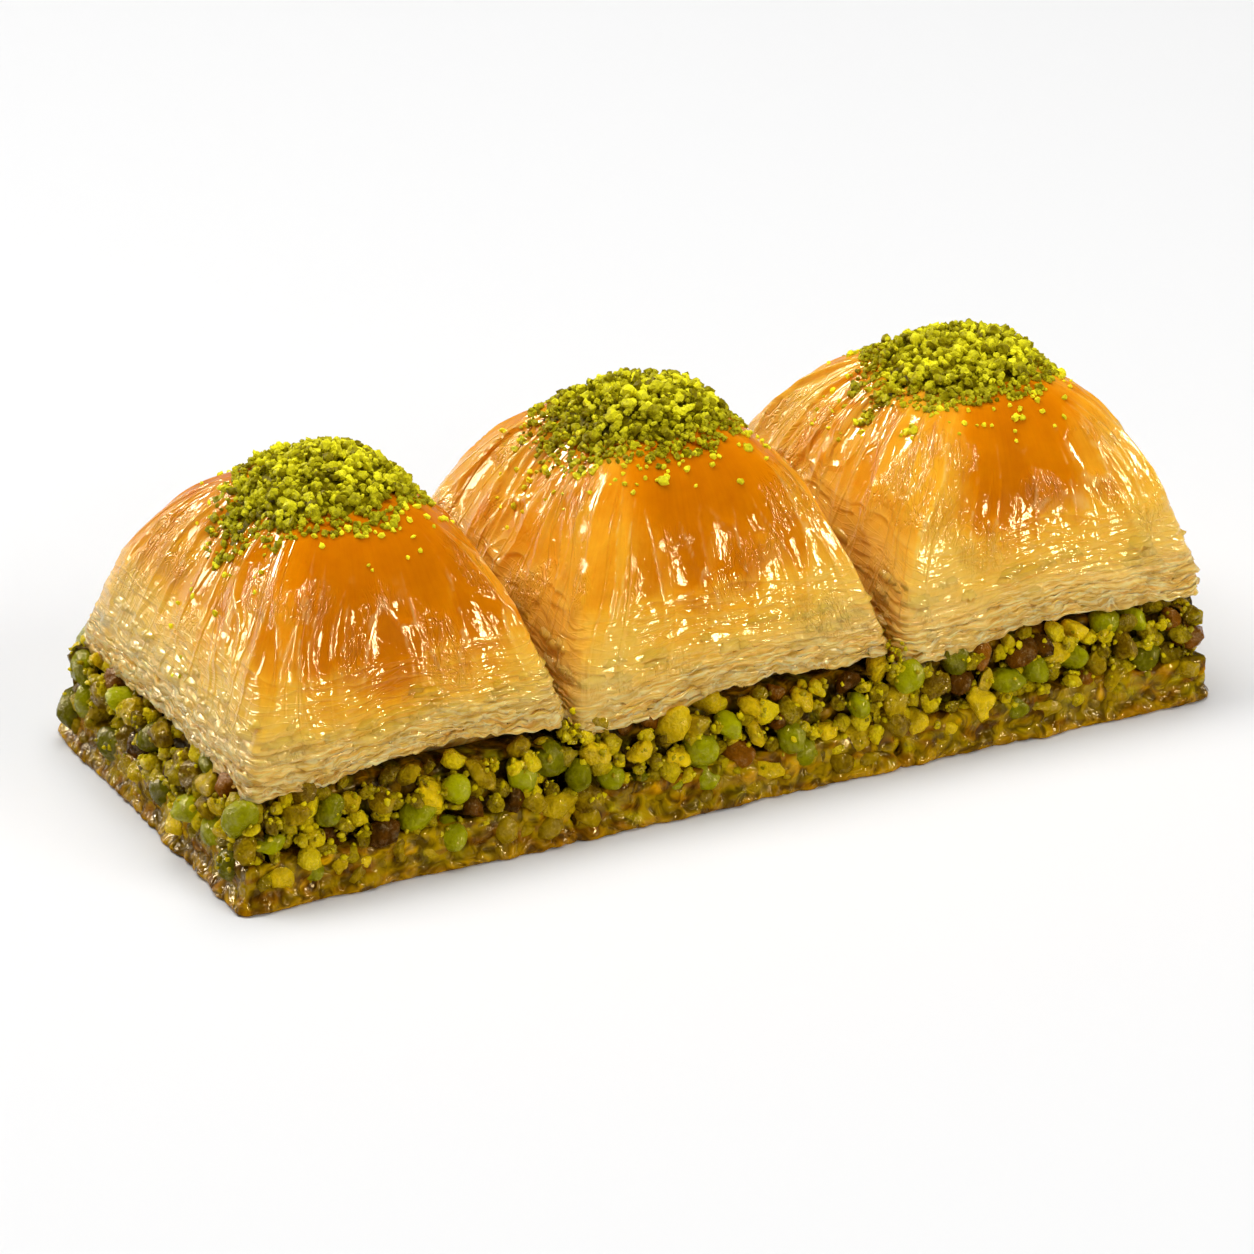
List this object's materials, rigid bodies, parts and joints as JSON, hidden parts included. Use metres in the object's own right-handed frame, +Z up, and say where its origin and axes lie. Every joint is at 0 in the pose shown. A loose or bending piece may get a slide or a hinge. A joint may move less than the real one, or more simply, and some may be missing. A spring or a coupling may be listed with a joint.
{
  "type": "row of square pistachio baklava",
  "caption": "Row of puffed square pistachio baklava, portion-cut and side by side: syrup-soaked base, chopped-nut layer, golden flaky crust and ground pistachio on top.",
  "frame": {"origin": "middle of the rectangle that the row covers, on the surface that it rests on", "axes": "+X along the row, from the left square to the right one; +Z up; the front faces -Y"},
  "size_m": [0.1368, 0.059, 0.0468],
  "materials": {
    "soaked_pastry": "wet olive-amber pastry soaked in syrup, with pieces of pistachio in it",
    "filling": "glistening chopped pistachios, green and yellow with some brown skins",
    "crust": "glossy golden-brown pastry sheets, pale and flaky at the rim",
    "ground_pistachio": "matt bright yellow-green crumbs"
  },
  "bodies": {
    "root": {"soaked_pastry_left": "soaked_pastry", "soaked_pastry_middle": "soaked_pastry", "soaked_pastry_right": "soaked_pastry", "filling_left": "filling", "filling_middle": "filling", "filling_right": "filling", "crust_left": "crust", "crust_middle": "crust", "crust_right": "crust", "ground_pistachio_left": "ground_pistachio", "ground_pistachio_middle": "ground_pistachio", "ground_pistachio_right": "ground_pistachio"}
  },
  "joints": []
}
